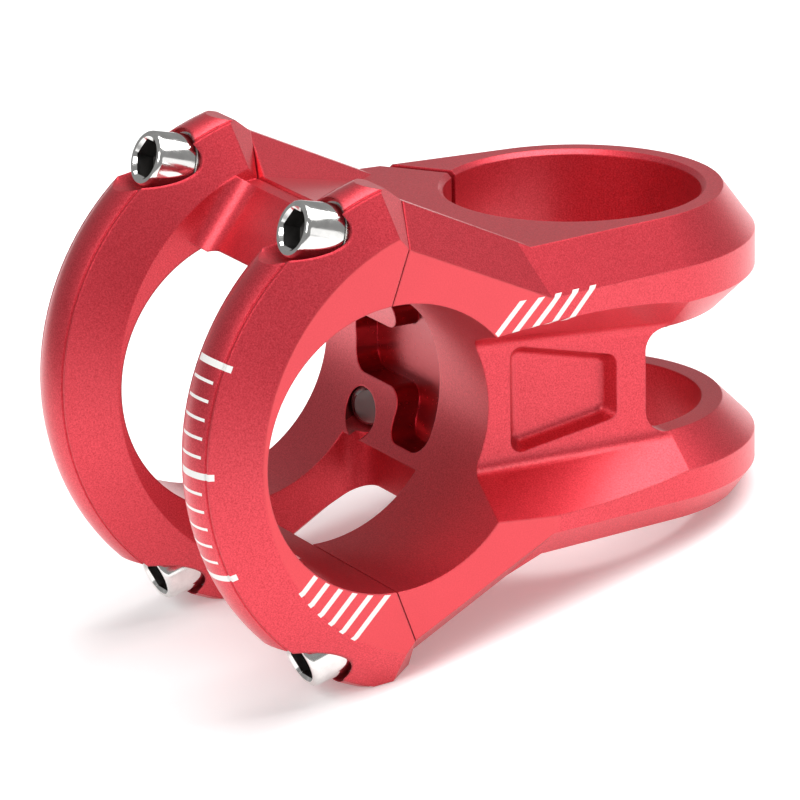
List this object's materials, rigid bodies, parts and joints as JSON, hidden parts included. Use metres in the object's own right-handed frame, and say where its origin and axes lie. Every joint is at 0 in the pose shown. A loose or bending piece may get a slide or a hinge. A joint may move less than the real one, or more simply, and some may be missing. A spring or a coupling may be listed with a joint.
{
  "type": "bicycle handlebar stem",
  "caption": "Short handlebar stem with a two-arm faceplate clamp for the bar and a split pinch clamp for the steerer tube, all closed by socket screws.",
  "frame": {"origin": "on the steerer axis, at the height of the handlebar axis", "axes": "+Z along the steerer, +X along the handlebar, -Y from the steerer towards the handlebar"},
  "size_m": [0.0461, 0.0775, 0.0554],
  "materials": {
    "body_alloy": "bead-blasted, red anodised",
    "faceplate_alloy": "bead-blasted, red anodised",
    "screw_steel": "polished",
    "washer_steel": "plain"
  },
  "bodies": {
    "stem": {"stem_body": "body_alloy"},
    "faceplate": {"faceplate": "faceplate_alloy"},
    "face_washer_top_near": {"faceplate_washer_top_near": "washer_steel"},
    "face_screw_top_near": {"faceplate_bolt_top_near": "screw_steel"},
    "face_washer_top_far": {"faceplate_washer_top_far": "washer_steel"},
    "face_screw_top_far": {"faceplate_bolt_top_far": "screw_steel"},
    "face_washer_bottom_near": {"faceplate_washer_bottom_near": "washer_steel"},
    "face_screw_bottom_near": {"faceplate_bolt_bottom_near": "screw_steel"},
    "face_washer_bottom_far": {"faceplate_washer_bottom_far": "washer_steel"},
    "face_screw_bottom_far": {"faceplate_bolt_bottom_far": "screw_steel"},
    "pinch_washer_upper": {"steerer_washer_upper": "washer_steel"},
    "pinch_screw_upper": {"steerer_bolt_upper": "screw_steel"},
    "pinch_washer_lower": {"steerer_washer_lower": "washer_steel"},
    "pinch_screw_lower": {"steerer_bolt_lower": "screw_steel"}
  },
  "joints": [
    {"name": "faceplate_release", "type": "slide", "parent": "stem", "child": "faceplate", "axis": [0, -1, 0], "range_m": [0, 0.0005]},
    {"name": "face_screw_top_near_travel", "type": "slide", "parent": "faceplate", "child": "face_washer_top_near", "axis": [0, -0.9385, 0.3453], "range_m": [0, 0.0091]},
    {"name": "face_screw_top_near_turn", "type": "hinge", "parent": "face_washer_top_near", "child": "face_screw_top_near", "pos_m": [0.0165, -0.0396, 0.02268], "axis": [0, -0.9385, 0.3453], "range_deg": [0, 4096]},
    {"name": "face_screw_top_far_travel", "type": "slide", "parent": "faceplate", "child": "face_washer_top_far", "axis": [0, -0.9385, 0.3453], "range_m": [0, 0.0091]},
    {"name": "face_screw_top_far_turn", "type": "hinge", "parent": "face_washer_top_far", "child": "face_screw_top_far", "pos_m": [-0.0165, -0.0396, 0.02268], "axis": [0, -0.9385, 0.3453], "range_deg": [0, 4096]},
    {"name": "face_screw_bottom_near_travel", "type": "slide", "parent": "faceplate", "child": "face_washer_bottom_near", "axis": [0, -0.9385, -0.3453], "range_m": [0, 0.0091]},
    {"name": "face_screw_bottom_near_turn", "type": "hinge", "parent": "face_washer_bottom_near", "child": "face_screw_bottom_near", "pos_m": [0.0165, -0.03987, -0.02193], "axis": [0, -0.9385, -0.3453], "range_deg": [0, 4096]},
    {"name": "face_screw_bottom_far_travel", "type": "slide", "parent": "faceplate", "child": "face_washer_bottom_far", "axis": [0, -0.9385, -0.3453], "range_m": [0, 0.0091]},
    {"name": "face_screw_bottom_far_turn", "type": "hinge", "parent": "face_washer_bottom_far", "child": "face_screw_bottom_far", "pos_m": [-0.0165, -0.03987, -0.02193], "axis": [0, -0.9385, -0.3453], "range_deg": [0, 4096]},
    {"name": "pinch_screw_upper_travel", "type": "slide", "parent": "stem", "child": "pinch_washer_upper", "axis": [-0.5878, 0.809, 0], "range_m": [0, 0.0064]},
    {"name": "pinch_screw_upper_turn", "type": "hinge", "parent": "pinch_washer_upper", "child": "pinch_screw_upper", "pos_m": [-0.01974, -0.0094, 0.0074], "axis": [-0.5878, 0.809, 0], "range_deg": [0, 2881]},
    {"name": "pinch_screw_lower_travel", "type": "slide", "parent": "stem", "child": "pinch_washer_lower", "axis": [-0.5878, 0.809, 0], "range_m": [0, 0.0064]},
    {"name": "pinch_screw_lower_turn", "type": "hinge", "parent": "pinch_washer_lower", "child": "pinch_screw_lower", "pos_m": [-0.01974, -0.0094, -0.0074], "axis": [-0.5878, 0.809, 0], "range_deg": [0, 2881]}
  ],
  "couplings": [
    {"joint": "face_screw_top_near_turn", "follows": "face_screw_top_near_travel", "rad_per_m": 7854},
    {"joint": "face_screw_top_far_turn", "follows": "face_screw_top_far_travel", "rad_per_m": 7854},
    {"joint": "face_screw_bottom_near_turn", "follows": "face_screw_bottom_near_travel", "rad_per_m": 7854},
    {"joint": "face_screw_bottom_far_turn", "follows": "face_screw_bottom_far_travel", "rad_per_m": 7854},
    {"joint": "pinch_screw_upper_turn", "follows": "pinch_screw_upper_travel", "rad_per_m": 7854},
    {"joint": "pinch_screw_lower_turn", "follows": "pinch_screw_lower_travel", "rad_per_m": 7854}
  ]
}
